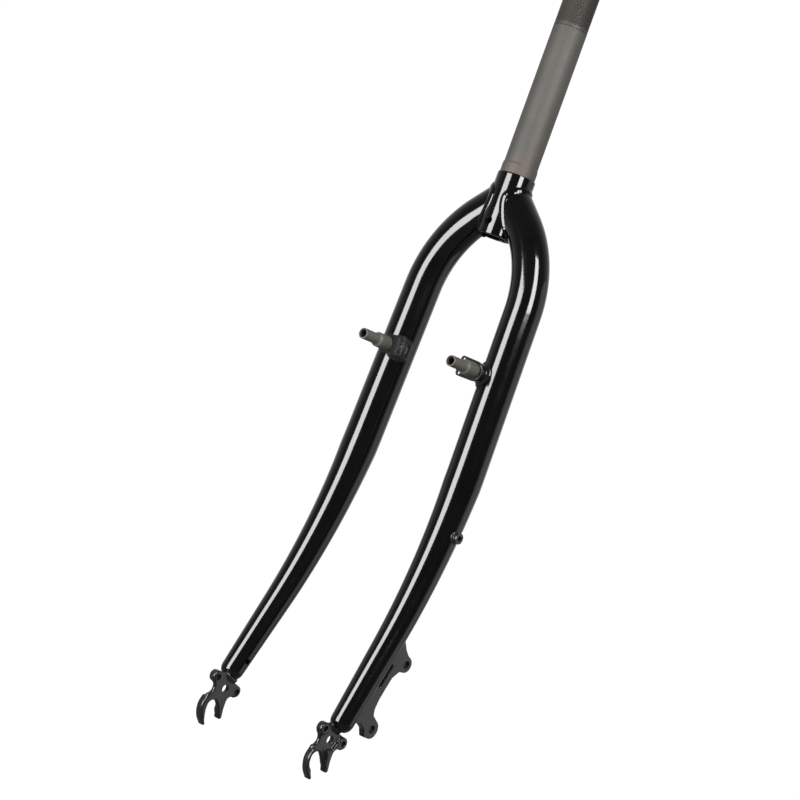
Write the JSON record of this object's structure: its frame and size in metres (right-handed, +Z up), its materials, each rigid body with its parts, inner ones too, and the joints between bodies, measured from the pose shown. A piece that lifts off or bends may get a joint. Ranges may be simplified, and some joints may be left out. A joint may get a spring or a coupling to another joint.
{
  "type": "bicycle fork",
  "caption": "Rigid steel bicycle fork with curved tapering blades, bare threaded steerer, rim brake studs with spring plates, a disc brake tab and open slotted dropouts",
  "frame": {"origin": "On the steerer axis, on the plane on top of the crown sleeve where the crown race seat starts", "axes": "+Z runs up along the steerer axis, -Y is the front of the bicycle, +X is the rider's left, which is the disc brake side"},
  "size_m": [0.1314, 0.0819, 0.6114],
  "materials": {
    "steerer_steel": "bare steel, drawn and slightly stained",
    "sleeve_paint": "gloss black paint",
    "blade_paint": "gloss black paint",
    "dropout_paint": "gloss black paint",
    "fitting_paint": "gloss black paint",
    "stud_steel": "bare steel, drawn and slightly stained"
  },
  "bodies": {
    "root": {"steerer_tube": "steerer_steel", "crown_sleeve": "sleeve_paint", "left_blade": "blade_paint", "right_blade": "blade_paint", "left_dropout": "dropout_paint", "right_dropout": "dropout_paint", "left_brake_boss": "fitting_paint", "right_brake_boss": "fitting_paint", "left_spring_plate": "fitting_paint", "right_spring_plate": "fitting_paint", "left_brake_stud": "stud_steel", "right_brake_stud": "stud_steel", "disc_tab": "dropout_paint", "hose_boss": "fitting_paint"}
  },
  "joints": []
}
